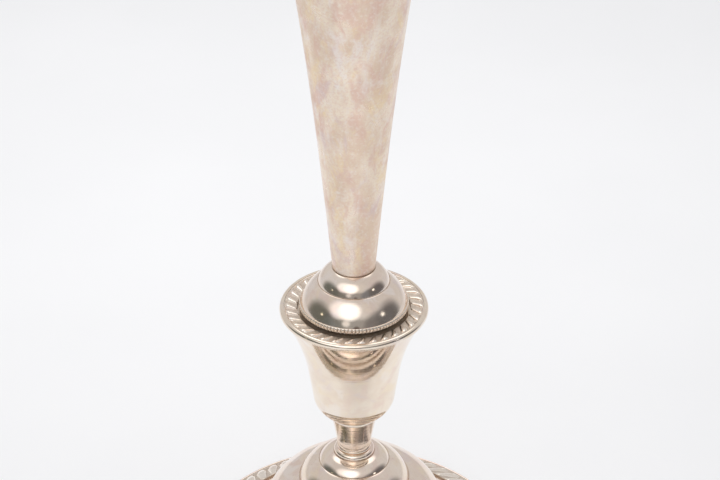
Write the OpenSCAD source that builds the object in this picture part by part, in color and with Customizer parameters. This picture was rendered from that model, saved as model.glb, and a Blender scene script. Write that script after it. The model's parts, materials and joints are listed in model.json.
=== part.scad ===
// Silver candlestick: a weighted foot and candle cup, a trumpet column plugged into
// the cup, and a loose gadrooned nozzle in the top of each.
// Millimetres, +Z up. The origin is the middle of the felt, on the table.

/* [Foot] */
// Diameter over the foot's border
foot_d = 154; // [140:1:170]
// Height of the foot shell, table to its top shelf
foot_h = 47.9; // [44:0.1:54]
// Diameter of the shelf that the lower dome stands on
shelf_d = 50.8; // [48:0.1:54]
// Width of the sloping gadrooned border
foot_border_w = 11.2; // [9:0.1:13]
// Number of lobes around the foot
foot_lobes = 66; // [48:1:80]
// Height of the stepped dome under the neck: lower step
lower_dome_h = 10.4; // [9:0.1:12]
// Height of the stepped dome under the neck: upper step
upper_dome_h = 4.5; // [3.8:0.1:5.4]
// Diameter of the upper step
upper_dome_d = 31.7; // [30:0.1:34]
// Diameter of the foot's shoulder, where its curve turns hollow
knee_d = 82; // [76:1:92]
// Height of that shoulder above the table
knee_h = 34; // [30:0.1:38]

/* [Neck and cup] */
// Diameter of the flat top of the upper step
dome_top_d = 19; // [18:0.1:21]
// Height from the domes to the cup, bead and collet included
neck_h = 21.2; // [18:0.1:28]
// Diameter of the cove at the foot of the neck
flange_d = 18.4; // [17.4:0.1:18.9]
// Narrowest diameter of the neck, just above its bead
neck_d = 15.4; // [14.4:0.1:16.4]
// Diameter of the neck where it meets the cup's collet
neck_top_d = 20.6; // [18:0.1:21]
// Diameter of the ring between neck and cup
collet_d = 21; // [20:0.1:23]
// Height of the cup's shell
cup_h = 55; // [48:0.1:62]
// Diameter of the cup where its rounded bottom begins
cup_belly_d = 36.8; // [35:0.1:42]
// Diameter of the cup where its wall begins to flare
cup_throat_d = 40.8; // [39:0.1:45]
// Diameter of the cup's lip
cup_lip_d = 62; // [59:0.1:63]

/* [Nozzles] */
// Diameter over a nozzle's rim
rim_d = 65; // [64:0.1:72]
// Inner diameter of the gadrooned band on the rim
rim_inner_d = 49.6; // [49:0.1:53]
// Number of lobes around a nozzle's rim
rim_lobes = 34; // [28:1:40]
// Candle well diameter (a household candle is 7/8 inch)
well_d = 22.2; // [20:0.1:23]
// Candle well depth below the pan
well_depth = 26; // [20:0.5:28]

/* [Column] */
// Height of the collar's groove above the pan it stands in
collar_h = 15; // [13:0.1:18]
// Height of the collar's upper dome
collar_cap_h = 7; // [5:0.1:9]
// Diameter over the collar's milled edge
collar_d = 48.2; // [46:0.1:48.4]
// Diameter of the groove between the two domes
collar_groove_d = 31.1; // [29:0.1:33]
// Length of the plug that goes into the lower nozzle
plug_h = 22; // [16:0.5:24]
// Height of the trumpet column itself
column_h = 164; // [130:1:190]
// Diameter of the column's foot
column_foot_d = 18.5; // [17.5:0.1:20]
// Diameter of the column's mouth
column_mouth_d = 58.3; // [57:0.1:60]
// Widening of the column at its foot, mm of radius per mm of height
column_taper = 0.0912; // [0.08:0.0001:0.1]

/* [Sheet and clearances] */
// Thickness of the silver sheet
sheet = 0.9; // [0.7:0.05:1.1]
// Wall of the nozzle sleeves, sockets and plug
tube_wall = 0.8; // [0.6:0.05:1]
// Radial clearance of each lift-out fit
fit = 0.08; // [0.04:0.01:0.1]
// Gap between pieces that are soldered or screwed together
joint_gap = 0.05; // [0.02:0.01:0.1]
// Diameter of the steel tie rods
rod_d = 4; // [3:0.5:5]
// Thickness of the felt under the foot
felt_t = 1.2; // [1:0.1:2]

/* [Hidden] */
$fn = 96;

// Small fixed thicknesses
plate_t = 0.8;        // base plate under the ballast
plate_gap = 0.6;      // empty layer between plate and ballast
pour_gap = 0.2;       // shrinkage between ballast and shell
washer_t = 1.2;
washer_r = 5.25;
nut_h = 3.2;
nut_flats = 7;
rod_slack = 0.4;      // rod end past its nut
seam = 0.35;          // width of the dark seams between stacked spinnings
lip_w = 2.1;          // rounded wire around a rim, radial width
lip_rise = 0.3;       // its top above the rim plane
pan_t = 0.8;
pan_drop = 2.2;       // rim plane down to the pan's floor
lobe_rise = 0.6;      // crest of the gadroon lobes above the rim plane
lobe_slant = 30;      // their lean from straight outwards, degrees
rim_lobe_small = 0.6; // radius of a rim lobe at its inner end
rim_lobe_big = 1.3;   // and at its outer end
rim_lobe_in = 0.4;    // both ends in from the band's edges
band_drop_in = 0.9;   // rim plane down to the band's inner edge
band_drop_out = 0.3;  // and down to its outer edge
foot_lobe_small = 0.7;
foot_lobe_big = 1.2;
foot_lobe_in = 0.8;
foot_lobe_sunk = 0.15; // a foot lobe's axis below the band's surface
foot_lip_w = 1.9;
foot_lip_z = 0.8;     // lower edge of the foot, clear of the table
border_t = 1.7;       // thickness of the foot's gadrooned band
border_fall = 4.75;    // drop of the foot's border, inner edge to outer edge
border_inset = 0.4;   // the band's inner edge in from the shell's own bend
border_bevel = 1;     // bevel along that edge
knee_sag = 2.7;       // bulge of the foot's shoulder
slope_sag = 4.5;      // hollow of the slope outside it
dome_sag = 0.11;      // bulge of a spun dome, per mm of its chord
flange_h = 0.3;       // upright edge of the cove under the neck
cove_h = 2.2;
bead_h = 1.6;
bead_in = 0.7;        // depth of the bead's grooves inside the neck's own radius
collet_h = 1.2;
belly_rise = 12;      // height of the cup's rounded bottom
throat_drop = 30;     // cup's lip down to where its wall begins to flare
flare_sag = 1.46;     // hollow of that flare
neck_sag = 0.3;       // hollow of the neck
bridge_t = 1.2;
mouth_ring_h = 3;
edge_h = 1.3;         // milled edge of the collar
edge_lift = 2.8;      // and its underside above the pan
edge_w = 1.3;
collar_step = 0.1;    // the dome's edge in from the milled edge
seat_d = 32;          // step of the collar that stands on the pan
cup_floor_t = 1.5;
cup_foot_in = 0.5;    // the cup's flat bottom in from the top of the neck
plug_cap_t = 2;
collar_cap_lip = 0.25; // ledge of the collar's cap around the column's foot
mouth_lip_h = 1;      // upright edge of the ring around the column's mouth
mouth_lip_r = 0.4;    // that ring's lowest thickness
mouth_ring_sag = 0.5;
cove_sag = 0.8;
socket_clear = 0.5;   // empty length of a socket under the nozzle
arc_steps = 12;
column_steps = 24;

// Heights of the stack, from the table up
z_lower_dome = foot_h;
z_upper_dome = z_lower_dome + lower_dome_h;
z_neck = z_upper_dome + upper_dome_h;
z_cup = z_neck + neck_h;
z_cup_lip = z_cup + cup_h;
z_pan = z_cup_lip + pan_t;         // floor of the lower nozzle's pan
z_column = z_pan + collar_h + collar_cap_h;
z_mouth = z_column + column_h;     // top of the column, under the upper nozzle

// Radii
rod_r = rod_d / 2;
well_r = well_d / 2;
sleeve_r = well_r + tube_wall;                 // outside of a nozzle's sleeve
socket_r = sleeve_r + fit;                     // inside of the socket that it drops into
socket_out_r = socket_r + tube_wall;
plug_r = well_r - fit;
band_out_r = rim_d / 2 - lip_w;                // outer edge of the gadrooned band
foot_r = foot_d / 2;
border_out_r = foot_r - foot_lip_w;
border_in_r = border_out_r - foot_border_w;
shell_in_r = border_out_r - sheet;
slope_t = sheet * sin(45);                     // sheet measured along r and z on a 45 degree slope
z_plate = felt_t + plate_t;
z_border_out = z_plate + joint_gap + sheet;     // the shell's border closes just over the plate
z_border_in = z_border_out + border_fall;
z_band_out = z_border_out + border_t;           // outer top edge of the gadrooned band
z_ballast = z_plate + plate_gap;
recess_h = nut_h + washer_t + rod_slack;       // room for nut and washer under the ballast
recess_r = nut_flats;
z_tie_nut = z_ballast + rod_slack;
collar_r = collar_d / 2;
groove_r = collar_groove_d / 2;
z_edge = z_pan + edge_lift;
z_groove = z_pan + collar_h;
cup_lip = [cup_lip_d / 2, z_cup_lip - sheet / 2];
cup_throat = [cup_throat_d / 2, z_cup_lip - throat_drop];
z_bridge = z_mouth - well_depth - tube_wall - socket_clear
           - rod_slack - nut_h - washer_t - bridge_t;

// Points on the circular arc from p to q that bulges by sag to the left of p -> q.
// A negative sag bulges to the right.
function arc(p, q, sag, n = arc_steps) =
    let (d = q - p, len = norm(d), side = sign(sag), s = abs(sag),
         rad = (len * len / 4 + s * s) / (2 * s),
         nrm = [-d[1], d[0]] / len,
         c = (p + q) / 2 - nrm * side * (rad - s),
         half = asin(len / 2 / rad),
         mid = atan2(nrm[1] * side, nrm[0] * side))
    [for (i = [0:n]) let (a = mid + side * half * (1 - 2 * i / n)) c + rad * [cos(a), sin(a)]];

// Shoulder of a spun dome, from its top at p to its edge at q.
function dome_arc(p, q) = arc(p, q, dome_sag * norm(q - p));

// Radius at height z on the arc from p down to q that is hollowed inwards by sag.
function hollow_r(p, q, sag, z) =
    let (d = q - p, len = norm(d), rad = (len * len / 4 + sag * sag) / (2 * sag),
         c = (p + q) / 2 + [-d[1], d[0]] / len * (rad - sag))
    c[0] - sqrt(rad * rad - pow(z - c[1], 2));

function backwards(points) = [for (i = [len(points) - 1:-1:0]) points[i]];

function shifted(points, dr, dz) = [for (p = points) p + [dr, dz]];

// Quarter of an ellipse, from the upright wall at p down to a flat bottom at height z,
// stopped at radius r_end.
function bowl_arc(p, z, r_end, n = arc_steps) =
    let (a_end = asin(r_end / p[0]))
    [for (i = [0:n]) let (a = 90 + (a_end - 90) * i / n)
        [p[0] * sin(a), p[1] - (p[1] - z) * cos(a) / cos(a_end)]];

// Radius of the trumpet column at height s above its foot
column_foot_r = column_foot_d / 2;
column_flare = (column_mouth_d / 2 - column_foot_r - column_taper * column_h) / pow(column_h, 3);
function column_r(s) = column_foot_r + column_taper * s + column_flare * pow(s, 3);

module turned(points) { rotate_extrude() polygon(points); }

module ring(r_in, r_out, z0, z1) {
    turned([[r_in, z0], [r_out, z0], [r_out, z1], [r_in, z1]]);
}

module rod(z0, z1) { translate([0, 0, z0]) cylinder(r = rod_r, h = z1 - z0); }

module hex_nut(z0) {
    translate([0, 0, z0]) difference() {
        cylinder(d = nut_flats / cos(30), h = nut_h, $fn = 6);
        translate([0, 0, -1]) cylinder(r = rod_r + joint_gap, h = nut_h + 2);
    }
}

module washer(z0) { ring(rod_r + joint_gap, washer_r, z0, z0 + washer_t); }

// A spun dome: flat top with a hole for the rod, rounded shoulder, open below.
module spun_dome(r_top, z_top, r_edge, z_edge) {
    outer = dome_arc([r_top, z_top], [r_edge, z_edge]);
    inner = dome_arc([r_top, z_top - sheet], [r_edge - sheet, z_edge]);
    turned(concat([[rod_r + joint_gap, z_top]], outer, backwards(inner),
                  [[rod_r + joint_gap, z_top - sheet]]));
}

// Slanted teardrop lobes around a band, thick end outwards, kept inside r_out. Their
// axes run from z_in to z_out, so that no lobe breaks through the band's underside.
module lobes(count, r_in, r_out, z_in, z_out, small, big) {
    reach = (r_out - big * sin(lobe_slant) - r_in) / cos(lobe_slant);
    for (i = [0:count - 1]) rotate(360 * i / count) translate([r_in, 0, z_in])
        rotate([0, 90 + atan2(z_in - z_out, reach), -lobe_slant])
            cylinder(r1 = small, r2 = big, h = norm([reach, z_in - z_out]), $fn = 16);
}

// Rounded wire laid around a rim: flat against r_in, round outside.
module rim_wire(r_in, r_out, z0, z1) {
    flat = (r_out - r_in) / 3;
    turned(concat([[r_in, z0]],
                  arc([r_in + flat, z0], [r_in + flat, z1], -(r_out - r_in - flat)),
                  [[r_in, z1]]));
}

// ---- Foot ----

module felt_pad() { color("darkolivegreen") cylinder(r = shell_in_r - joint_gap, h = felt_t); }

module base_plate() {
    color("dimgray") translate([0, 0, felt_t]) cylinder(r = shell_in_r - joint_gap, h = plate_t);
}

slope = concat(arc([shelf_d / 2, foot_h], [knee_d / 2, knee_h], knee_sag),
               arc([knee_d / 2, knee_h], [border_in_r, z_border_in], -slope_sag));

module foot_shell() {
    inside = shifted(slope, -slope_t, -slope_t);
    color("silver") turned(concat(
        [[rod_r + joint_gap, foot_h]], slope,
        [[border_out_r, z_border_out], [border_out_r, foot_lip_z], [shell_in_r, foot_lip_z],
         [shell_in_r, z_border_out - sheet]],
        backwards(inside), [[rod_r + joint_gap, foot_h - sheet]]));
}

module ballast() {
    gap = sheet + pour_gap;
    color("saddlebrown") difference() {
        turned(concat([[rod_r + joint_gap, foot_h - gap]], shifted(slope, -gap, -gap),
                      [[border_in_r - gap, z_ballast], [rod_r + joint_gap, z_ballast]]));
        translate([0, 0, z_ballast - 1]) cylinder(r = recess_r, h = recess_h + 1);
    }
}

module foot_gadroon() {
    fall = border_fall / foot_border_w;
    r0 = border_in_r + border_inset;
    z0 = z_border_in - border_inset * fall;
    r_lobes = border_out_r - foot_lobe_in;
    color("gainsboro") {
        turned([[r0, z0 + joint_gap], [border_out_r, z_border_out + joint_gap],
                [border_out_r, z_band_out], [r0 + border_bevel, z0 + border_t - border_bevel * fall]]);
        lobes(foot_lobes, r0 + 2 * foot_lobe_in, r_lobes,
              z0 + border_t - 2 * foot_lobe_in * fall - foot_lobe_sunk,
              z_band_out + foot_lobe_in * fall - foot_lobe_sunk,
              foot_lobe_small, foot_lobe_big);
    }
}

module foot_lip() {
    color("silver") rim_wire(border_out_r + joint_gap, foot_r, foot_lip_z, z_band_out);
}

module lower_dome() {
    color("silver") spun_dome(upper_dome_d / 2 + seam, z_upper_dome, shelf_d / 2 - seam, z_lower_dome);
}

module upper_dome() {
    color("silver") spun_dome(dome_top_d / 2, z_neck, upper_dome_d / 2, z_upper_dome);
}

module tie_rod() {
    color("slategray") rod(z_tie_nut - rod_slack / 2, z_cup + cup_floor_t + nut_h + rod_slack);
}

module tie_washer() { color("slategray") washer(z_tie_nut + nut_h); }

module tie_nut() { color("slategray") hex_nut(z_tie_nut); }

// ---- Neck and cup ----

module neck_bead() {
    flange_r = flange_d / 2;
    neck_r = neck_d / 2;
    z_cove = z_neck + flange_h;
    z_bead = z_cove + cove_h;
    color("silver") turned(concat(
        [[rod_r + joint_gap, z_neck], [flange_r, z_neck]],
        arc([flange_r, z_cove], [neck_r - bead_in, z_bead], -cove_sag, 6),
        arc([neck_r - bead_in, z_bead], [neck_r - bead_in, z_bead + bead_h], -bead_in, 8),
        [[rod_r + joint_gap, z_bead + bead_h]]));
}

module neck() {
    z0 = z_neck + flange_h + cove_h + bead_h;
    outer = arc([neck_d / 2, z0], [neck_top_d / 2, z_cup - collet_h], neck_sag, 8);
    color("silver") turned(concat(outer, backwards(shifted(outer, -sheet, 0))));
}

module neck_collet() {
    color("silver") ring(rod_r + joint_gap, collet_d / 2, z_cup - collet_h, z_cup);
}

module cup_shell() {
    z_belly = z_cup + belly_rise;
    bottom_r = neck_top_d / 2 - cup_foot_in;
    belly_r = cup_belly_d / 2;
    wall = concat(arc(cup_lip, cup_throat, -flare_sag), [[belly_r, z_belly]]);
    bowl = bowl_arc([belly_r, z_belly], z_cup, bottom_r);
    bowl_in = bowl_arc([belly_r - sheet, z_belly], z_cup + cup_floor_t, bottom_r - sheet);
    color("silver") turned(concat([[cup_lip_d / 2, z_cup_lip]], wall, bowl,
        [[rod_r + joint_gap, z_cup], [rod_r + joint_gap, z_cup + cup_floor_t]],
        backwards(bowl_in), backwards(shifted(wall, -sheet, 0)),
        [[cup_lip_d / 2 - sheet, z_cup_lip]]));
}

module cup_nut() { color("slategray") hex_nut(z_cup + cup_floor_t); }

// Tube that takes a nozzle's sleeve, held by a flange soldered inside the wall around it.
module flanged_socket(z_top, z_flange, flange_r) {
    z0 = z_top - well_depth - socket_clear;
    color("lightsteelblue") {
        ring(socket_r, socket_out_r, z0, z_top - joint_gap);
        ring(socket_out_r - tube_wall / 2, flange_r, z_flange, z_flange + tube_wall);
    }
}

module cup_socket() {
    z_flange = z_cup_lip - well_depth - socket_clear;
    flanged_socket(z_cup_lip, z_flange,
                   hollow_r(cup_lip, cup_throat, flare_sag, z_flange) - sheet - joint_gap);
}

// ---- Nozzles: z is the floor of the nozzle's pan ----

module nozzle_sleeve(z) {
    color("lightsteelblue") turned([
        [0, z - well_depth - tube_wall], [sleeve_r, z - well_depth - tube_wall], [sleeve_r, z],
        [well_r, z], [well_r, z - well_depth], [0, z - well_depth]]);
}

module nozzle_pan(z) { color("silver") ring(sleeve_r + joint_gap, band_out_r, z - pan_t, z); }

module nozzle_gadroon(z) {
    r_in = rim_inner_d / 2;
    top = z + pan_drop;
    color("gainsboro") {
        turned([[r_in, z], [band_out_r, z], [band_out_r, top - band_drop_out],
                [r_in, top - band_drop_in]]);
        lobes(rim_lobes, r_in + rim_lobe_in, band_out_r - rim_lobe_in,
              top - rim_lobe_in - rim_lobe_small, top + lobe_rise - rim_lobe_big,
              rim_lobe_small, rim_lobe_big);
    }
}

module nozzle_wire(z) {
    color("silver") rim_wire(band_out_r + joint_gap, rim_d / 2, z - pan_t, z + pan_drop + lip_rise);
}

module lower_nozzle_sleeve() { nozzle_sleeve(z_pan); }
module lower_nozzle_pan() { nozzle_pan(z_pan); }
module lower_gadroon() { nozzle_gadroon(z_pan); }
module lower_rim_wire() { nozzle_wire(z_pan); }
module upper_nozzle_sleeve() { nozzle_sleeve(z_mouth + pan_t); }
module upper_nozzle_pan() { nozzle_pan(z_mouth + pan_t); }
module upper_gadroon() { nozzle_gadroon(z_mouth + pan_t); }
module upper_rim_wire() { nozzle_wire(z_mouth + pan_t); }

// ---- Column ----

module plug_tube() {
    color("lightsteelblue") ring(plug_r - tube_wall, plug_r, z_pan - plug_h, z_pan);
}

module plug_cap() {
    color("lightsteelblue")
        ring(rod_r + joint_gap, plug_r - tube_wall - joint_gap, z_pan - plug_h,
             z_pan - plug_h + plug_cap_t);
}

module collar_seat() {
    plate_r = collar_r - edge_w - joint_gap;
    color("silver") turned([
        [rod_r + joint_gap, z_pan], [seat_d / 2, z_pan], [seat_d / 2, z_edge], [plate_r, z_edge],
        [plate_r, z_edge + sheet], [rod_r + joint_gap, z_edge + sheet]]);
}

module collar_edge() {
    color("gainsboro") ring(collar_r - edge_w, collar_r, z_edge, z_edge + edge_h);
}

module collar_dome() {
    color("silver") spun_dome(groove_r + seam, z_groove, collar_r - collar_step, z_edge + edge_h);
}

module collar_cap() {
    color("silver") spun_dome(column_foot_r + collar_cap_lip, z_column, groove_r, z_groove);
}

module column_shell() {
    outer = [for (i = [0:column_steps]) let (s = column_h * i / column_steps)
             [column_r(s), z_column + s]];
    color("thistle") turned(concat(outer, backwards(shifted(outer, -sheet, 0))));
}

module column_rod() {
    color("slategray") rod(z_pan - plug_h, z_bridge + bridge_t + washer_t + nut_h + rod_slack);
}

module column_bridge() {
    color("slategray")
        ring(rod_r + joint_gap, column_r(z_bridge - z_column) - sheet - joint_gap,
             z_bridge, z_bridge + bridge_t);
}

module column_washer() { color("slategray") washer(z_bridge + bridge_t); }

module column_nut() { color("slategray") hex_nut(z_bridge + bridge_t + washer_t); }

module column_socket() {
    s_flange = column_h - well_depth - socket_clear;
    flanged_socket(z_mouth, z_column + s_flange, column_r(s_flange) - sheet - joint_gap);
}

module mouth_ring() {
    r_in = column_mouth_d / 2 + joint_gap;
    color("silver") turned(concat(
        [[r_in, z_mouth - mouth_ring_h]],
        arc([r_in + mouth_lip_r, z_mouth - mouth_ring_h],
            [cup_lip_d / 2, z_mouth - mouth_lip_h], mouth_ring_sag, 6),
        [[cup_lip_d / 2, z_mouth], [r_in, z_mouth]]));
}

felt_pad();
base_plate();
ballast();
tie_rod();
tie_washer();
tie_nut();
foot_shell();
foot_gadroon();
foot_lip();
lower_dome();
upper_dome();
neck_bead();
neck();
neck_collet();
cup_shell();
cup_nut();
cup_socket();
lower_nozzle_sleeve();
lower_nozzle_pan();
lower_gadroon();
lower_rim_wire();
plug_tube();
plug_cap();
collar_seat();
collar_edge();
collar_dome();
collar_cap();
column_shell();
column_rod();
column_bridge();
column_washer();
column_nut();
column_socket();
mouth_ring();
upper_nozzle_sleeve();
upper_nozzle_pan();
upper_gadroon();
upper_rim_wire();
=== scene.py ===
"""Silver candlestick: lathed, chased and tarnished pieces around the CAD frame."""
import json
import math

import bpy
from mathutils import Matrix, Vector


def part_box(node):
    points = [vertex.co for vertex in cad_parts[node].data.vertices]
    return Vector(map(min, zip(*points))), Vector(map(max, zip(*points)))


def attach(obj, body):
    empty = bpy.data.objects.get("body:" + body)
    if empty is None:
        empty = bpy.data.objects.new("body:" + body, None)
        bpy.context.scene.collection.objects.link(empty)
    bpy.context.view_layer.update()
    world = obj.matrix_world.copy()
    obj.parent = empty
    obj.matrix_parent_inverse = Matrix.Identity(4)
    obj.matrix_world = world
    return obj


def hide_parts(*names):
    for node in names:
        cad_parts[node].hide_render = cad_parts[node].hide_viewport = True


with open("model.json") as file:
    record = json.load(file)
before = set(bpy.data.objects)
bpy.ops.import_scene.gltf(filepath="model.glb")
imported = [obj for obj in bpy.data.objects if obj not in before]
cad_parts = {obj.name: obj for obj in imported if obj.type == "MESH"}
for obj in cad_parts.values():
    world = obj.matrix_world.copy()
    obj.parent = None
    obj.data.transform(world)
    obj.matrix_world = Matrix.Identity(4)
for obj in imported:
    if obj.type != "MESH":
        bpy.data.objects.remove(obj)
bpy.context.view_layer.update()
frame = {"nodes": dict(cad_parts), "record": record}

MM = 0.001

# Sizes that the CAD nodes' boxes don't give, in millimetres
SHEET = 0.9            # silver sheet
EDGE = 0.22            # softened corner of a spinning or casting
SEAM = 0.35            # dark seam between stacked spinnings
JOINT_GAP = 0.05       # room between pieces that press or screw together
ROD_R = 2.05           # hole for the tie rod
TUBE_WALL = 0.8
THROAT_DROP = 30.0     # cup's lip down to where its wall begins to flare
THROAT_R = 20.4
FLARE_SAG = 1.46
BELLY_R = 18.4
BELLY_RISE = 12.0
CUP_BASE_R = 9.8
CUP_FLOOR = 1.5
NECK_R = 7.7
NECK_SAG = 0.3
COVE_Z, COVE_H, COVE_SAG = 0.3, 2.2, 0.8
BEAD_IN = 0.7          # grooves of the bead inside the neck's radius
DOME_TOP_R = 9.5
DOME_SAG = 0.11        # bulge of a dome, per mm of its chord
KNEE_R, KNEE_Z, KNEE_SAG = 41.0, 34.0, 2.7
SLOPE_SAG = 4.5
SLOPE_T = 0.636        # sheet measured along r and z on the slope
BORDER_W, BORDER_T, BORDER_FALL = 11.2, 1.7, 4.75
BORDER_INSET = 0.4
COLUMN_FOOT_R = 9.25
COLUMN_TAPER = 0.0912
CAP_LEDGE = 0.25       # ledge of the collar's cap around the column
RING_LIP_H, RING_LIP_R, RING_SAG = 1.0, 0.4, 0.5
PAN_DROP = 2.2         # rim plane down to the pan's floor
BAND_IN_R = 24.8
EDGE_W = 1.3           # collar's milled edge
EDGE_PROUD = 0.5       # how far its beads stand out
EDGE_LEAN = 0.2        # how far its face leans in at the top
EDGE_LAP = 0.9         # how far it laps up the foot of the dome
COLLAR_SAG = 0.085     # bulge of the collar's lower dome, per mm of its chord
LOBE_SLANT = math.radians(30)
RIM_LOBES = 34
FOOT_LOBES = 66
COLLAR_BEADS = 94

LIP_WIDEST = 0.8       # roll of a rim's lip, at most this part of its width
LIP_TALLEST = 0.47     # and at most this part of its height

SEGMENTS = 288         # around a lathed piece
LEAST_CORNER = math.radians(22)    # smaller turns of an outline stay as they are
SHARP_CREASE = math.radians(50)    # larger ones are shaded as a crease


# ---- Profiles: lists of (radius, height) in millimetres ----

def arc(p, q, sag, n=20):
    """Circular arc from p to q that bulges by sag to the left of p -> q."""
    (px, py), (qx, qy) = p, q
    dx, dy = qx - px, qy - py
    length = math.hypot(dx, dy)
    side, s = math.copysign(1, sag), abs(sag)
    radius = (length * length / 4 + s * s) / (2 * s)
    nx, ny = -dy / length * side, dx / length * side
    cx = (px + qx) / 2 - nx * (radius - s)
    cy = (py + qy) / 2 - ny * (radius - s)
    half = math.asin(min(1, length / 2 / radius))
    middle = math.atan2(ny, nx)
    angles = [middle + side * half * (1 - 2 * i / n) for i in range(n + 1)]
    return [(cx + radius * math.cos(a), cy + radius * math.sin(a)) for a in angles]


def shifted(points, dr, dz):
    return [(r + dr, z + dz) for r, z in points]


def softened(points, size=EDGE, steps=4):
    """The closed outline with each real corner rounded by about size."""
    out = []
    count = len(points)
    for i, (x, y) in enumerate(points):
        before, after = points[i - 1], points[(i + 1) % count]
        a = Vector((before[0] - x, before[1] - y))
        b = Vector((after[0] - x, after[1] - y))
        if a.length < 1e-6 or b.length < 1e-6:
            continue
        turn = math.pi - a.angle(b)
        if turn < LEAST_CORNER or x < 1e-6:
            out.append((x, y))
            continue
        cut = min(size, 0.45 * a.length, 0.45 * b.length)
        start, end = a.normalized() * cut, b.normalized() * cut
        for k in range(steps + 1):
            t = k / steps
            u = start * (1 - t) ** 2 + end * t ** 2
            out.append((x + u.x, y + u.y))
    return out


def refined(outline, seams, step=0.12):
    """The closed outline with extra points near its seams, and how deep in a seam each
    point lies. A seam is (radius, height, width)."""
    def near(r, z):
        return max([0.0] + [1 - math.hypot(r - sr, z - sz) / width for sr, sz, width in seams])

    points, depths = [], []
    for i, (r, z) in enumerate(outline):
        nr, nz = outline[(i + 1) % len(outline)]
        length = math.hypot(nr - r, nz - z)
        count = max(1, min(400, round(length / step)))
        samples = [(r + (nr - r) * k / count, z + (nz - z) * k / count) for k in range(count)]
        for k, (x, y) in enumerate(samples):
            before, here = near(*samples[k - 1]) if k else 0.0, near(x, y)
            if k == 0 or here > 0 or before > 0:
                points.append((x, y))
                depths.append(here)
    return points, depths


def mesh_piece(name, verts, faces, body, material, nodes, hollow):
    """A mesh in millimetres becomes a piece of the object that stands for CAD nodes."""
    mesh = bpy.data.meshes.new(name)
    mesh.from_pydata([(x * MM, y * MM, z * MM) for x, y, z in verts], [], faces)
    mesh.validate()
    mesh.attributes.new("hollow", "FLOAT", "POINT").data.foreach_set("value", hollow)
    mesh.shade_smooth()
    mesh.set_sharp_from_angle(angle=SHARP_CREASE)
    piece = bpy.data.objects.new(name, mesh)
    bpy.context.scene.collection.objects.link(piece)
    mesh.materials.append(material)
    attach(piece, body)
    if nodes:
        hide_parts(*nodes)
    return piece


def closed_band(rows, around, flip=False):
    """Faces of a tube of rows, each a ring of around points, closed both ways."""
    faces = []
    for k in range(rows):
        following = (k + 1) % rows
        for i in range(around):
            j = (i + 1) % around
            face = (k * around + i, following * around + i, following * around + j,
                    k * around + j)
            faces.append((face[0], face[3], face[2], face[1]) if flip else face)
    return faces


def lathe(name, outline, body, material, nodes, seams=(), segments=SEGMENTS):
    """Turns a closed outline about the axis. Points on the axis become one point, and
    tarnish gathers at the seams, with painted shade where a wide seam covers a pan's floor."""
    outline, depths = refined(outline, seams)
    verts, rows, hollow = [], [], []
    for (r, z), depth in zip(outline, depths):
        if r < 1e-4:
            rows.append([len(verts)] * segments)
            verts.append((0, 0, z))
            hollow.append(depth)
            continue
        hollow += [depth] * segments
        rows.append(list(range(len(verts), len(verts) + segments)))
        for i in range(segments):
            a = 2 * math.pi * i / segments
            verts.append((r * math.cos(a), r * math.sin(a), z))
    faces = []
    for k, row in enumerate(rows):
        following = rows[(k + 1) % len(rows)]
        if row[0] == row[1] and following[0] == following[1]:
            continue
        for i in range(segments):
            j = (i + 1) % segments
            ring = [row[i], row[j], following[j], following[i]]
            faces.append(list(dict.fromkeys(ring)))
    return mesh_piece(name, verts, faces, body, material, nodes, hollow)


def span(node):
    """Outer radius, lowest and highest height of a CAD node, in millimetres."""
    low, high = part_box(node)
    return high.x / MM, low.z / MM, high.z / MM


def spun_dome(r_top, z_top, r_edge, z_edge, bulge=DOME_SAG):
    """Outline of a spun dome of sheet, with the hole for the rod in its flat top."""
    sag = bulge * math.hypot(r_edge - r_top, z_edge - z_top)
    outer = arc((r_top, z_top), (r_edge, z_edge), sag)
    inner = arc((r_top, z_top - SHEET), (r_edge - SHEET, z_edge), sag)
    return [(ROD_R, z_top)] + outer + inner[::-1] + [(ROD_R, z_top - SHEET)]


def wire(name, r_in, r_out, low, high, body, material, node):
    """A rim's thick rolled lip, its inner edge a little lower than its crown."""
    bulge = min(LIP_WIDEST * (r_out - r_in), LIP_TALLEST * (high - low))
    outline = ([(r_in, low)] + arc((r_out - bulge, low), (r_out - bulge, high - 0.05), -bulge, 28)
               + [(r_in, high - 0.15)])
    lathe(name, softened(outline, 0.08), body, material, [node], [(r_in, high, 0.3)])


# ---- Gadrooned bands and beads ----

# Where a lobe's head starts and how long it is, how long the tail's tip is, and where the
# dirty hollows end, as parts of the band's width
HEAD_START, HEAD_LENGTH, TAIL_TIP, CLEAN_EDGE = 0.7, 0.24, 0.1, 0.96
HEAD_SWELL = 0.4       # part of the pitch that a lobe gains from tail to head
TAIL_HEIGHT = 0.4      # tail's height, as a part of the head's
TIP_WIDTH = 0.35       # part of its width that a lobe keeps at its very tip
LOBE_ROUNDNESS = 0.8   # power of a lobe's cross-section
HOLLOW_FADE = 2.6      # how soon a lobe rises out of the dirt
BEAD_SQUARENESS = 2.2  # power of a milled bead's cross-section
THREAD = 0.08          # plain thread above and below the beads, as a part of the height
BEAD_DIRT = 1.7        # how deep the notches between beads count as hollows


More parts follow.
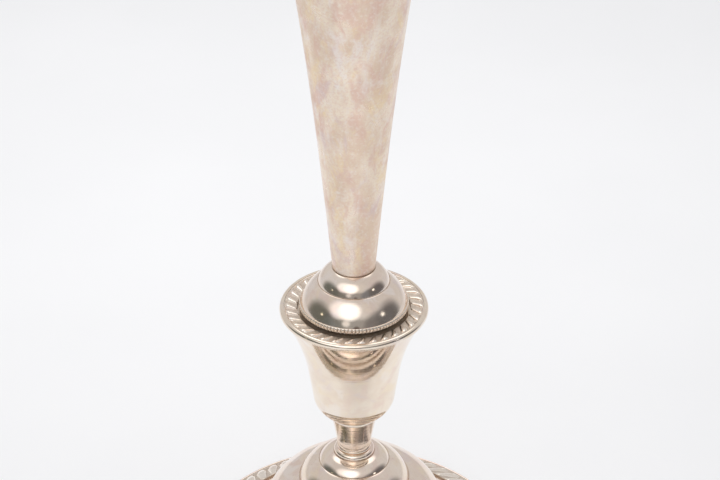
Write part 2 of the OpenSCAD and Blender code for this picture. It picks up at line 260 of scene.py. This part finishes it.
def gadroon(name, body, node, material, count, r_in, r_out, surface, rise, slim, per_lobe,
            across, bottom):
    """A band of slanted teardrop lobes on a closed ring.

    surface(t) is the height of the plain band at t, 0 at its inner edge and 1 at its
    outer edge, bottom(t) is its underside, rise is the height of the lobes, and slim is
    the part of the pitch that a lobe's tail takes."""
    around = count * per_lobe
    verts, hollow = [], []
    twist = count * math.tan(LOBE_SLANT)
    for k in range(across + 1):
        t = k / across
        r = r_in + (r_out - r_in) * t
        # A thin tail inside swells to a full round head near the outer edge
        grown = min(1.0, t / HEAD_START)
        width = slim + HEAD_SWELL * grown
        height = TAIL_HEIGHT + (1 - TAIL_HEIGHT) * grown
        head = math.sqrt(max(0.0, 1 - (max(0.0, t - HEAD_START) / HEAD_LENGTH) ** 2))
        tail = min(1.0, t / TAIL_TIP)
        lean = twist * math.log(r / r_in)
        for i in range(around):
            a = 2 * math.pi * i / around
            phase = (count * a + lean) / (2 * math.pi) % 1.0
            across_lobe = abs(2 * phase - 1) / (width * (TIP_WIDTH + (1 - TIP_WIDTH) * head))
            swell = max(0.0, 1 - across_lobe ** 2) ** LOBE_ROUNDNESS
            lift = swell * height * head * tail
            verts.append((r * math.cos(a), r * math.sin(a), surface(t) + rise * lift))
            hollow.append(max(0.0, 1 - lift * HOLLOW_FADE) if t < CLEAN_EDGE else 0.1)
    for r, z in ((r_out, bottom(1)), (r_in, bottom(0))):
        for i in range(around):
            a = 2 * math.pi * i / around
            verts.append((r * math.cos(a), r * math.sin(a), z))
            hollow.append(1.0)
    faces = closed_band(across + 3, around)
    return mesh_piece(name, verts, faces, body, material, [node], hollow)


def milled_edge(name, body, node, material, count, per_bead=10, across=14):
    """The collar's edge: small upright beads, no two quite alike, between plain threads."""
    r_out, z0, z1 = span(node)
    r_in = r_out - EDGE_W
    around = count * per_bead
    verts, hollow = [], []
    for k in range(across + 1):
        t = k / across
        # Round beads on a face that leans in, up over the foot of the dome
        r_face = r_out - EDGE_PROUD - EDGE_LEAN * t
        z = z0 + (z1 + EDGE_LAP - z0) * t
        swell = math.sqrt(max(0.0, 1 - abs(2 * t - 1) ** BEAD_SQUARENESS))
        thread = t < THREAD or t > 1 - THREAD
        for i in range(around):
            a = 2 * math.pi * i / around
            bead, phase = divmod(count * i / around, 1.0)
            # Two steps out of tune with the count wear each bead in its own way
            worn = 0.75 + 0.25 * math.sin(bead * 2.399) * math.sin(bead * 0.71)
            notch = 0.0 if thread else abs(2 * phase - 1) ** BEAD_SQUARENESS * worn
            r = r_face + EDGE_PROUD * swell * (1 - notch)
            verts.append((r * math.cos(a), r * math.sin(a), z))
            hollow.append(BEAD_DIRT * notch)
    for z in (z1, z0):
        for i in range(around):
            a = 2 * math.pi * i / around
            verts.append((r_in * math.cos(a), r_in * math.sin(a), z))
            hollow.append(0.6)
    faces = closed_band(across + 3, around, flip=True)
    return mesh_piece(name, verts, faces, body, material, [node], hollow)


# ---- Materials ----

class Nodes:
    """Short names for the shader nodes of one material."""

    def __init__(self, name):
        self.material = bpy.data.materials.new(name)
        self.material.use_nodes = True
        self.tree = self.material.node_tree
        self.shader = self.tree.nodes["Principled BSDF"]
        self.place = self.tree.nodes.new("ShaderNodeTexCoord").outputs["Object"]

    def link(self, source, target):
        self.tree.links.new(source, target)

    def around_axis(self, scale):
        """Radius and height only, so that a texture on them runs round the object."""
        length = self.tree.nodes.new("ShaderNodeVectorMath")
        length.operation = "LENGTH"
        self.link(self.stretched((1, 1, 0)), length.inputs[0])
        split = self.tree.nodes.new("ShaderNodeSeparateXYZ")
        self.link(self.place, split.inputs[0])
        join = self.tree.nodes.new("ShaderNodeCombineXYZ")
        self.link(self.math("MULTIPLY", length.outputs["Value"], scale), join.inputs[0])
        self.link(self.math("MULTIPLY", split.outputs[2], scale), join.inputs[1])
        return join.outputs[0]

    def hollow(self):
        """How deep in a seam or hollow the surface lies, 0 to 1."""
        node = self.tree.nodes.new("ShaderNodeAttribute")
        node.attribute_name = "hollow"
        return node.outputs["Fac"]

    def stretched(self, scale):
        """Object coordinates scaled per axis, for features longer one way."""
        node = self.tree.nodes.new("ShaderNodeMapping")
        node.inputs["Scale"].default_value = scale
        self.link(self.place, node.inputs["Vector"])
        return node.outputs["Vector"]

    def noise(self, scale, detail=4.0, roughness=0.5, distortion=0.0, place=None, seed=0.0):
        node = self.tree.nodes.new("ShaderNodeTexNoise")
        node.noise_dimensions = "4D"
        node.inputs["W"].default_value = seed
        node.inputs["Scale"].default_value = scale
        node.inputs["Detail"].default_value = detail
        node.inputs["Roughness"].default_value = roughness
        node.inputs["Distortion"].default_value = distortion
        self.link(place or self.place, node.inputs["Vector"])
        return node.outputs["Fac"]

    def ramp(self, source, low, high, to_low=0.0, to_high=1.0):
        node = self.tree.nodes.new("ShaderNodeMapRange")
        node.interpolation_type = "SMOOTHSTEP"
        self.link(source, node.inputs["Value"])
        for socket, value in (("From Min", low), ("From Max", high),
                              ("To Min", to_low), ("To Max", to_high)):
            node.inputs[socket].default_value = value
        return node.outputs["Result"]

    def mix(self, factor, first, second, blend="MIX"):
        node = self.tree.nodes.new("ShaderNodeMix")
        node.data_type = "RGBA"
        node.blend_type = blend
        for socket, value in ((node.inputs[0], factor), (node.inputs[6], first),
                              (node.inputs[7], second)):
            if isinstance(value, bpy.types.NodeSocket):
                self.link(value, socket)
            elif isinstance(value, float):
                socket.default_value = value
            else:
                socket.default_value = (*value, 1)
        return node.outputs[2]

    def math(self, operation, first, second):
        node = self.tree.nodes.new("ShaderNodeMath")
        node.operation = operation
        for socket, value in ((node.inputs[0], first), (node.inputs[1], second)):
            if isinstance(value, bpy.types.NodeSocket):
                self.link(value, socket)
            else:
                socket.default_value = value
        return node.outputs[0]

    def bump(self, height, strength, distance):
        node = self.tree.nodes.new("ShaderNodeBump")
        node.inputs["Strength"].default_value = strength
        node.inputs["Distance"].default_value = distance
        self.link(height, node.inputs["Height"])
        return node.outputs["Normal"]


BEIGE = (0.80, 0.64, 0.50)
PALE = (0.92, 0.80, 0.66)
CLOUD = (0.92, 0.85, 0.80)
PINK = (0.78, 0.55, 0.46)
LAVENDER = (0.75, 0.61, 0.60)
STRAW = (0.90, 0.73, 0.48)
BROWN = (0.30, 0.20, 0.13)
# Brown of the tarnish in seams, also used as painted shade on the nozzles' pan floors
GRIME_AND_SHADE = (0.30, 0.18, 0.09)
CREST = (0.96, 0.89, 0.81)


def tarnish(n, amount, scale, stretch=(1, 1, 1), seed=0.0):
    """Silver that has toned in soft patches of beige, pink, lavender, straw and white."""
    place = n.stretched(stretch)
    colour = n.mix(n.ramp(n.noise(scale, 3, 0.5, 0.6, place, seed), 0.38, 0.62), BEIGE, PALE)
    patches = ((PINK, 1.1, 0.48, 0.64, 3.1), (LAVENDER, 0.9, 0.52, 0.66, 7.7),
               (STRAW, 1.2, 0.52, 0.66, 12.4), (CLOUD, 1.0, 0.54, 0.68, 21.3))
    for tint, finer, low, high, shift in patches:
        where = n.ramp(n.noise(scale * finer, 4, 0.55, 0.9, place, seed + shift), low, high,
                       0.0, amount)
        colour = n.mix(where, colour, tint)
    return colour


def grime_and_shade(n, colour, amount=0.75):
    """Brown tarnish where seams and hollows can't be polished, and painted shade over the
    nozzles' pan floors.
    """
    patchy = n.ramp(n.noise(420, 3, 0.6), 0.3, 0.65, 0.65, 1.0)
    return n.mix(n.math("MULTIPLY", n.ramp(n.hollow(), 0.15, 0.95, 0.0, amount), patchy),
                 colour, GRIME_AND_SHADE)


def silver_satin():
    """The column: soft, mottled, with faint wavering streaks."""
    n = Nodes("silver_satin")
    colour = tarnish(n, 0.72, 85, stretch=(1, 1, 0.6), seed=2.0)
    grain = n.noise(1000, 2, 0.6)
    colour = n.mix(n.ramp(grain, 0.42, 0.7, 0.0, 0.42), colour, PINK)
    bloom = n.noise(700, 2, 0.6, seed=9.0)
    colour = n.mix(n.ramp(bloom, 0.48, 0.7, 0.0, 0.38), colour, CLOUD)
    tilt = n.tree.nodes.new("ShaderNodeMapping")
    tilt.inputs["Rotation"].default_value = (0.0, 0.35, 0.2)
    tilt.inputs["Scale"].default_value = (1, 1, 0.10)
    n.link(n.place, tilt.inputs["Vector"])
    streaks = n.noise(230, 3, 0.6, 0.6, tilt.outputs["Vector"], 5.0)
    colour = n.mix(n.ramp(streaks, 0.54, 0.70, 0.0, 0.35), colour, CLOUD)
    colour = n.mix(n.ramp(streaks, 0.46, 0.34, 0.0, 0.25), colour, BEIGE)
    n.link(grime_and_shade(n, colour), n.shader.inputs["Base Color"])
    n.link(n.ramp(n.noise(120, 4, 0.6, 0.4), 0.3, 0.7, 0.26, 0.44), n.shader.inputs["Roughness"])
    uneven = n.math("ADD", n.math("MULTIPLY", grain, 0.35), n.noise(150, 3, 0.5, 0.8))
    n.link(n.bump(uneven, 0.3, 0.0004), n.shader.inputs["Normal"])
    n.shader.inputs["Metallic"].default_value = 1.0
    return n.material


def silver_polished(name, base, amount, rough_low, rough_high, seed, wave=0.07):
    """Polished silver plate: clear reflections, thin tarnish, brown specks, spun lines."""
    n = Nodes(name)
    toned = tarnish(n, 0.8, 75, seed=seed)
    colour = n.mix(amount, base, toned)
    specks = n.ramp(n.noise(1400, 2, 0.5, seed=seed + 4), 0.66, 0.76, 0.0, 0.35)
    colour = n.mix(specks, colour, BROWN)
    # Brown in seams and hollows: tarnish, and painted shade on the pan floors
    n.link(grime_and_shade(n, colour, 0.7), n.shader.inputs["Base Color"])
    smudge = n.noise(90, 5, 0.65, 1.2, seed=seed + 1)
    n.link(n.ramp(smudge, 0.35, 0.7, rough_low, rough_high), n.shader.inputs["Roughness"])
    spun = n.noise(1.0, 2, 0.5, place=n.around_axis(800), seed=seed + 9)
    uneven = n.math("ADD", n.math("MULTIPLY", spun, 0.5), n.noise(110, 2, 0.4, 0.5))
    n.link(n.bump(uneven, wave, 0.0005), n.shader.inputs["Normal"])
    n.link(n.ramp(n.hollow(), 0.3, 1.0, 1.0, 0.35), n.shader.inputs["Metallic"])
    return n.material


def silver_ornament():
    """Cast border: bright crests, brown tarnish down in the hollows."""
    n = Nodes("silver_ornament")
    depth = n.hollow()
    colour = n.mix(0.30, CREST, tarnish(n, 0.7, 90, seed=31.0))
    dirt = n.math("MULTIPLY", n.ramp(depth, 0.3, 1.0, 0.0, 0.42),
                  n.ramp(n.noise(500, 3, 0.6), 0.3, 0.6, 0.6, 1.0))
    colour = n.mix(dirt, colour, BROWN)
    colour = n.mix(n.ramp(depth, 1.0, 1.6, 0.0, 0.6), colour, BROWN)
    n.link(colour, n.shader.inputs["Base Color"])
    n.link(n.ramp(depth, 0.1, 0.9, 0.14, 0.48), n.shader.inputs["Roughness"])
    n.link(n.bump(n.noise(1200, 3, 0.6), 0.12, 0.0002), n.shader.inputs["Normal"])
    n.shader.inputs["Metallic"].default_value = 1.0
    return n.material


def silver_inner():
    """Unpolished plated tube: greyish, with drawn lines along it."""
    n = Nodes("silver_inner")
    lines = n.noise(900, 3, 0.6, place=n.stretched((1, 1, 0.05)))
    colour = n.mix(n.ramp(lines, 0.3, 0.7), (0.58, 0.54, 0.48), (0.72, 0.69, 0.64))
    colour = n.mix(n.ramp(n.noise(160, 5, 0.6, 0.8), 0.5, 0.75, 0.0, 0.7), colour, BROWN)
    n.link(colour, n.shader.inputs["Base Color"])
    n.link(n.ramp(lines, 0.3, 0.7, 0.28, 0.5), n.shader.inputs["Roughness"])
    n.link(n.bump(lines, 0.15, 0.0002), n.shader.inputs["Normal"])
    n.shader.inputs["Metallic"].default_value = 1.0
    return n.material


def steel():
    """Drawn steel with a little oil and rust bloom."""
    n = Nodes("steel")
    lines = n.noise(1300, 2, 0.5, place=n.stretched((1, 1, 0.04)))
    colour = n.mix(n.ramp(lines, 0.3, 0.7), (0.34, 0.34, 0.35), (0.50, 0.50, 0.51))
    colour = n.mix(n.ramp(n.noise(220, 5, 0.7, 0.5), 0.58, 0.75, 0.0, 0.6), colour,
                   (0.24, 0.11, 0.05))
    n.link(colour, n.shader.inputs["Base Color"])
    n.link(n.ramp(n.noise(300, 3, 0.6), 0.3, 0.7, 0.3, 0.55), n.shader.inputs["Roughness"])
    n.link(n.bump(lines, 0.2, 0.0002), n.shader.inputs["Normal"])
    n.shader.inputs["Metallic"].default_value = 1.0
    return n.material


def pitch():
    """Cast pitch and plaster: dark brown, gritty, with pale flecks."""
    n = Nodes("pitch")
    colour = n.mix(n.ramp(n.noise(180, 6, 0.7), 0.35, 0.65), (0.035, 0.022, 0.015),
                   (0.11, 0.075, 0.05))
    colour = n.mix(n.ramp(n.noise(1500, 2, 0.5), 0.68, 0.76, 0.0, 0.7), colour,
                   (0.45, 0.40, 0.33))
    n.link(colour, n.shader.inputs["Base Color"])
    n.link(n.ramp(n.noise(240, 4, 0.6), 0.3, 0.7, 0.5, 0.85), n.shader.inputs["Roughness"])
    n.link(n.bump(n.noise(600, 5, 0.7), 0.5, 0.0006), n.shader.inputs["Normal"])
    return n.material


def felt():
    """Green baize: short matted fibres in every direction."""
    n = Nodes("felt")
    fibres = n.noise(1800, 4, 0.75, 2.5)
    clumps = n.noise(220, 4, 0.6, 1.0)
    colour = n.mix(n.ramp(fibres, 0.3, 0.7), (0.018, 0.060, 0.030), (0.050, 0.135, 0.070))
    colour = n.mix(n.ramp(clumps, 0.45, 0.75, 0.0, 0.5), colour, (0.075, 0.145, 0.085))
    n.link(colour, n.shader.inputs["Base Color"])
    n.shader.inputs["Roughness"].default_value = 0.95
    n.shader.inputs["Sheen Weight"].default_value = 0.45
    n.shader.inputs["Sheen Roughness"].default_value = 0.5
    n.link(n.bump(n.math("ADD", fibres, clumps), 0.6, 0.0005), n.shader.inputs["Normal"])
    return n.material


# ---- Foot ----

def build_foot(mirror, ornament, felt_cloth):
    felt_r, felt_low, felt_high = span("felt_pad")
    lathe("felt_disc", softened([(0, felt_low), (felt_r, felt_low), (felt_r, felt_high),
                                 (0, felt_high)], 0.5), "foot", felt_cloth, ["felt_pad"])

    shell_r, low, high = span("foot_shell")
    shelf_r = span("lower_dome")[0] + SEAM
    lip_r, lip_low, lip_high = span("foot_lip")
    border_in_r = shell_r - BORDER_W
    z_out = lip_high - BORDER_T
    z_in = z_out + BORDER_FALL
    fall = BORDER_FALL / BORDER_W
    r0, z0 = border_in_r + BORDER_INSET, z_in - BORDER_INSET * fall
    slope = (arc((shelf_r, high), (KNEE_R, KNEE_Z), KNEE_SAG, 40)
             + arc((KNEE_R, KNEE_Z), (border_in_r, z_in), -SLOPE_SAG, 40)[1:])
    inside = shifted(slope, -SLOPE_T, -SLOPE_T)
    outline = ([(ROD_R, high)] + slope + [(shell_r, z_out), (shell_r, low),
               (shell_r - SHEET, low), (shell_r - SHEET, z_out - SHEET)]
               + inside[::-1] + [(ROD_R, high - SHEET)])
    lathe("foot_spinning", softened(outline), "foot", mirror, ["foot_shell"],
          [(shelf_r - SEAM, high, 0.6), (r0, z0, 1.0)])

    def under(t):
        return z0 - (z0 - z_out) * t

    def plain(t):
        """Sunk between the lobes, and turned up to the rim over its last fifth."""
        return under(t) + BORDER_T - 0.9 + 0.6 * max(0.0, (t - 0.8) / 0.2)

    gadroon("foot_border", "foot", "foot_gadroon", ornament, FOOT_LOBES, r0, shell_r, plain,
            rise=1.1, slim=0.48, per_lobe=16, across=34, bottom=under)
    wire("foot_wire", shell_r + JOINT_GAP, lip_r, lip_low, lip_high, "foot",
         mirror, "foot_lip")


def build_domes(mirror):
    lower_r, lower_z, lower_top = span("lower_dome")
    upper_r, upper_z, upper_top = span("upper_dome")
    lathe("lower_step", softened(spun_dome(upper_r + SEAM, lower_top, lower_r, lower_z)),
          "foot", mirror, ["lower_dome"],
          [(lower_r, lower_z, 0.45), (upper_r, lower_top, 0.55)])
    lathe("upper_step", softened(spun_dome(DOME_TOP_R, upper_top, upper_r, upper_z)),
          "foot", mirror, ["upper_dome"],
          [(upper_r, upper_z, 0.4), (span("neck_bead")[0], upper_top, 0.4)])


def build_neck(mirror, cup_silver):
    flange_r, low, high = span("neck_bead")
    neck_top_r, neck_low, neck_high = span("neck")
    groove_r = NECK_R - BEAD_IN
    z_cove, z_bead = low + COVE_Z, low + COVE_Z + COVE_H
    outline = ([(ROD_R, low), (flange_r, low)]
               + arc((flange_r, z_cove), (groove_r, z_bead), -COVE_SAG, 14)
               + arc((groove_r, z_bead), (groove_r, high), -BEAD_IN, 14)
               + [(ROD_R, high)])
    lathe("neck_knop", softened(outline, 0.12), "foot", mirror, ["neck_bead"],
          [(groove_r, z_bead, 0.45), (groove_r, high, 0.45), (flange_r, low, 0.3)])
    outer = arc((NECK_R, neck_low), (neck_top_r, neck_high), NECK_SAG, 30)
    lathe("neck_tube", softened(outer + shifted(outer, -SHEET, 0)[::-1]), "foot",
          cup_silver, ["neck"], [(NECK_R, neck_low, 0.5), (neck_top_r, neck_high, 0.4)])
    collet_r, low, high = span("neck_collet")
    lathe("neck_ring", softened([(ROD_R, low), (collet_r, low), (collet_r, high), (ROD_R, high)],
                                0.35), "foot", cup_silver, ["neck_collet"])


def bowl(r, z_top, z_bottom, r_end, n=24):
    """Quarter of an ellipse from the wall at (r, z_top) to a flat bottom of radius r_end."""
    end = math.asin(r_end / r)
    angles = [math.pi / 2 + (end - math.pi / 2) * i / n for i in range(n + 1)]
    return [(r * math.sin(a), z_top - (z_top - z_bottom) * math.cos(a) / math.cos(end))
            for a in angles]


def build_cup(cup_silver):
    lip_r, low, high = span("cup_shell")
    z_belly = low + BELLY_RISE
    wall = (arc((lip_r, high - SHEET / 2), (THROAT_R, high - THROAT_DROP), -FLARE_SAG, 60)
            + [(BELLY_R, z_belly)])
    outer = bowl(BELLY_R, z_belly, low, CUP_BASE_R)
    inner = bowl(BELLY_R - SHEET, z_belly, low + CUP_FLOOR, CUP_BASE_R - SHEET)
    outline = ([(lip_r, high)] + wall + outer[1:] + [(ROD_R, low), (ROD_R, low + CUP_FLOOR)]
               + inner[::-1] + shifted(wall, -SHEET, 0)[::-1][1:] + [(lip_r - SHEET, high)])
    lathe("cup_bell", softened(outline), "foot", cup_silver, ["cup_shell"],
          [(lip_r, high, 0.5), (CUP_BASE_R, low, 0.5)])


# ---- Nozzles ----

def build_nozzle(place, cup_silver, ornament, inner_silver):
    """The loose nozzle of the lower cup or of the column's mouth."""
    body = place + "_nozzle"
    sleeve_r, sleeve_low, pan = span(place + "_nozzle_sleeve")
    well_r, well_low = sleeve_r - TUBE_WALL, sleeve_low + TUBE_WALL
    lathe(place + "_sleeve", softened([(0, sleeve_low), (sleeve_r, sleeve_low), (sleeve_r, pan),
                                       (well_r, pan), (well_r, well_low), (0, well_low)], 0.3),
          body, inner_silver, [place + "_nozzle_sleeve"])
    band_r, pan_low, pan_high = span(place + "_nozzle_pan")
    pan_in_r = sleeve_r + JOINT_GAP
    # The wide seam browns the pan's floor inside the gadroon band, where the collar's edge
    # overhangs it: painted shade, along with tarnish
    lathe(place + "_pan", softened([(pan_in_r, pan_low), (band_r, pan_low), (band_r, pan_high),
                                    (pan_in_r, pan_high)]), body, cup_silver,
          [place + "_nozzle_pan"], [(BAND_IN_R - 2.5, pan_high, 5.0), (pan_in_r, pan_high, 0.5)])
    top = pan_high + PAN_DROP

    def plain(t):
        """Sunk between the lobes, rising outwards, and turned up at the rim."""
        return top - 0.85 + 0.25 * t + 0.4 * max(0.0, (t - 0.85) / 0.15)

    gadroon(place + "_lobes", body, place + "_gadroon", ornament, RIM_LOBES, BAND_IN_R, band_r,
            plain, rise=0.85, slim=0.30, per_lobe=24, across=34, bottom=lambda t: pan_high)
    rim_r, low, high = span(place + "_rim_wire")
    wire(place + "_wire", band_r + JOINT_GAP, rim_r, low, high, body, cup_silver,
         place + "_rim_wire")


# ---- Column ----

def build_collar(mirror, ornament):
    milled_edge("collar_beads", "column", "collar_edge", ornament, COLLAR_BEADS)
    dome_r, low, high = span("collar_dome")
    cap_r, cap_low, cap_high = span("collar_cap")
    edge_r = dome_r - EDGE_PROUD
    dome = spun_dome(cap_r + SEAM, high, edge_r, low, COLLAR_SAG)
    lathe("collar_lower_dome", softened(dome), "column", mirror,
          ["collar_dome"], [(edge_r, low + EDGE_LAP, 0.3), (cap_r, high, 0.5)])
    ledge_r = COLUMN_FOOT_R + CAP_LEDGE
    lathe("collar_upper_dome", softened(spun_dome(ledge_r, cap_high, cap_r, cap_low)),
          "column", mirror, ["collar_cap"],
          [(cap_r, cap_low, 0.4), (COLUMN_FOOT_R, cap_high, 0.6)])


def build_column(satin):
    mouth_r, low, high = span("column_shell")
    height = high - low
    flare = (mouth_r - COLUMN_FOOT_R - COLUMN_TAPER * height) / height ** 3
    steps = 96
    heights = [height * i / steps for i in range(steps + 1)]
    outer = [(COLUMN_FOOT_R + COLUMN_TAPER * s + flare * s ** 3, low + s) for s in heights]
    lathe("column_trumpet", softened(outer + shifted(outer, -SHEET, 0)[::-1], 0.35), "column",
          satin, ["column_shell"], [(COLUMN_FOOT_R, low, 0.75)])
    ring_r, ring_low, ring_high = span("mouth_ring")
    r_in = mouth_r + JOINT_GAP
    outline = ([(r_in, ring_low)]
               + arc((r_in + RING_LIP_R, ring_low), (ring_r, ring_high - RING_LIP_H), RING_SAG)
               + [(ring_r, ring_high), (r_in, ring_high)])
    lathe("mouth_border", softened(outline), "column", satin, ["mouth_ring"],
          [(r_in, ring_low, 0.6), (ring_r, ring_high, 0.4)])


# ---- Studio ----

def floor_material():
    n = Nodes("studio_floor")
    paper = n.noise(6, 3, 0.5)
    n.link(n.mix(n.ramp(paper, 0.3, 0.7), (0.895, 0.90, 0.915), (0.915, 0.92, 0.935)),
           n.shader.inputs["Base Color"])
    n.shader.inputs["Roughness"].default_value = 0.9
    n.shader.inputs["Specular IOR Level"].default_value = 0.1
    return n.material


def build_floor():
    mesh = bpy.data.meshes.new("studio_floor")
    side, front, back = 1.6, -1.25, 6.0
    mesh.from_pydata([(-side, front, 0), (side, front, 0), (side, back, 0), (-side, back, 0)],
                     [], [(0, 1, 2, 3)])
    floor = bpy.data.objects.new("studio_floor", mesh)
    mesh.materials.append(floor_material())
    bpy.context.scene.collection.objects.link(floor)


def build_camera():
    """Looks down on the cup from the front, a little to the right of the axis."""
    camera = bpy.data.objects.new("camera", bpy.data.cameras.new("camera"))
    bpy.context.scene.collection.objects.link(camera)
    camera.data.lens = 100
    camera.data.sensor_width = 36
    camera.data.clip_start = 0.01
    aim = Vector((0.00265, 0.0, 0.1749))
    pitch, distance = math.radians(31.73), 0.8527
    back = Vector((0, -math.cos(pitch), math.sin(pitch)))
    camera.location = aim + back * distance
    camera.rotation_euler = (math.pi / 2 - pitch, 0, 0)
    bpy.context.scene.camera = camera


def area_light(name, place, aim, side, power, spread=180):
    data = bpy.data.lights.new(name, "AREA")
    data.shape = "RECTANGLE"
    data.size = data.size_y = side
    data.energy = power
    data.spread = math.radians(spread)
    lamp = bpy.data.objects.new(name, data)
    lamp.location = place
    lamp.visible_glossy = False
    lamp.rotation_euler = (Vector(aim) - Vector(place)).to_track_quat("-Z", "Y").to_euler()
    bpy.context.scene.collection.objects.link(lamp)


BACKDROP = (0.902, 0.902, 0.915)   # the studio's white, as the camera sees it
AMBIENT = (0.95, 0.945, 0.945)     # what it sheds on the floor and other dull surfaces
WALLS = (0.93, 0.92, 0.92)         # what the silver mirrors between the patches
WORLD_STRENGTH = 0.71

# What the silver mirrors: azimuth, elevation, inner and outer angle, colour
ROOM = (
    (0, -5, 34, 56, (0.50, 0.50, 0.49)),      # the room behind the camera
    (-50, 2, 20, 36, (0.30, 0.31, 0.295)),    # its unlit sides
    (50, 2, 20, 36, (0.30, 0.30, 0.305)),
    (-78, 2, 18, 40, (0.21, 0.225, 0.205)),
    (78, 2, 18, 40, (0.21, 0.21, 0.22)),
    (-38, 44, 8, 27, (1.7, 1.7, 1.72)),       # a wide window
    (20, 46, 10, 27, (1.0, 0.99, 0.98)),
    (-12, 44, 9, 27, (2.3, 2.3, 2.32)),
    (-16, 14, 3, 10, (1.2, 1.18, 1.15)),
    (5, 2, 4, 8, (0.20, 0.17, 0.16)),         # the camera itself
    (-150, 62, 8, 20, (2.4, 2.4, 2.4)),       # softboxes behind
    (150, 62, 8, 20, (2.1, 2.1, 2.1)),
    (-72, 14, 1.5, 3, (2.2, 2.1, 1.6)),       # two lamps
    (66, 19, 2, 5, (2.4, 2.35, 2.2)),
)


def patch(tree, direction, azimuth, elevation, inner, outer):
    """1 inside a cone about a direction, fading to 0 at its outer angle. Azimuth 0 is the
    camera's side, and grows to the right."""
    a, e = math.radians(azimuth), math.radians(elevation)
    axis = (math.sin(a) * math.cos(e), -math.cos(a) * math.cos(e), math.sin(e))
    dot = tree.nodes.new("ShaderNodeVectorMath")
    dot.operation = "DOT_PRODUCT"
    dot.inputs[1].default_value = axis
    tree.links.new(direction, dot.inputs[0])
    fade = tree.nodes.new("ShaderNodeMapRange")
    fade.interpolation_type = "SMOOTHSTEP"
    fade.inputs["From Min"].default_value = math.cos(math.radians(outer))
    fade.inputs["From Max"].default_value = math.cos(math.radians(inner))
    tree.links.new(dot.outputs["Value"], fade.inputs["Value"])
    return fade.outputs["Result"]


def build_world():
    """A white studio. The silver mirrors the room of patches around it, and the camera and
    dull surfaces see plain white."""
    world = bpy.data.worlds.new("studio")
    bpy.context.scene.world = world
    world.use_nodes = True
    tree = world.node_tree
    direction = tree.nodes.new("ShaderNodeTexCoord").outputs["Generated"]

    def layer(below, colour, mask):
        node = tree.nodes.new("ShaderNodeMix")
        node.data_type = "RGBA"
        tree.links.new(mask, node.inputs[0])
        if isinstance(below, bpy.types.NodeSocket):
            tree.links.new(below, node.inputs[6])
        else:
            node.inputs[6].default_value = (*below, 1)
        node.inputs[7].default_value = (*colour, 1)
        return node.outputs[2]

    colour = WALLS
    for azimuth, elevation, inner, outer, tint in ROOM:
        colour = layer(colour, tint, patch(tree, direction, azimuth, elevation, inner, outer))
    path = tree.nodes.new("ShaderNodeLightPath").outputs
    colour = layer(colour, AMBIENT, path["Is Diffuse Ray"])
    colour = layer(colour, BACKDROP, path["Is Camera Ray"])
    background = tree.nodes["Background"]
    tree.links.new(colour, background.inputs["Color"])
    background.inputs["Strength"].default_value = WORLD_STRENGTH


def build_lights():
    """Two soft lights that shine straight down, behind the object and in front of it."""
    area_light("overhead", (-0.06, 0.30, 0.90), (-0.06, 0.30, 0), 0.35, power=3.1)
    area_light("front", (0.0, -0.45, 0.90), (0.0, -0.45, 0), 0.2, power=0.23, spread=60)


def main():
    mirror = silver_polished("silver_mirror", base=(0.94, 0.83, 0.76), amount=0.5,
                             rough_low=0.08, rough_high=0.17, seed=14.0)
    cup_silver = silver_polished("silver_cup", base=(0.96, 0.87, 0.76), amount=0.48,
                                 rough_low=0.06, rough_high=0.12, seed=22.0, wave=0.05)
    ornament = silver_ornament()
    inner_silver = silver_inner()
    steel_metal = steel()
    felt_cloth = felt()
    satin = silver_satin()
    build_foot(mirror, ornament, felt_cloth)
    build_domes(mirror)
    build_neck(mirror, cup_silver)
    build_cup(cup_silver)
    build_nozzle("lower", cup_silver, ornament, inner_silver)
    build_nozzle("upper", cup_silver, ornament, inner_silver)
    build_collar(mirror, ornament)
    build_column(satin)
    finishes = {"steel": steel_metal, "silver_inner": inner_silver, "pitch": pitch(),
                "silver_mirror": mirror, "silver_cup": cup_silver, "felt": felt_cloth,
                "silver_satin": satin, "silver_ornament": ornament}
    slots = {part["node"]: part["material_slot"] for part in frame["record"]["subparts"]}
    for node, thing in frame["nodes"].items():
        thing.data.materials.clear()
        thing.data.materials.append(finishes[slots[node]])
    build_floor()
    build_world()
    build_lights()
    build_camera()
    bpy.context.scene.view_settings.view_transform = "Standard"


main()
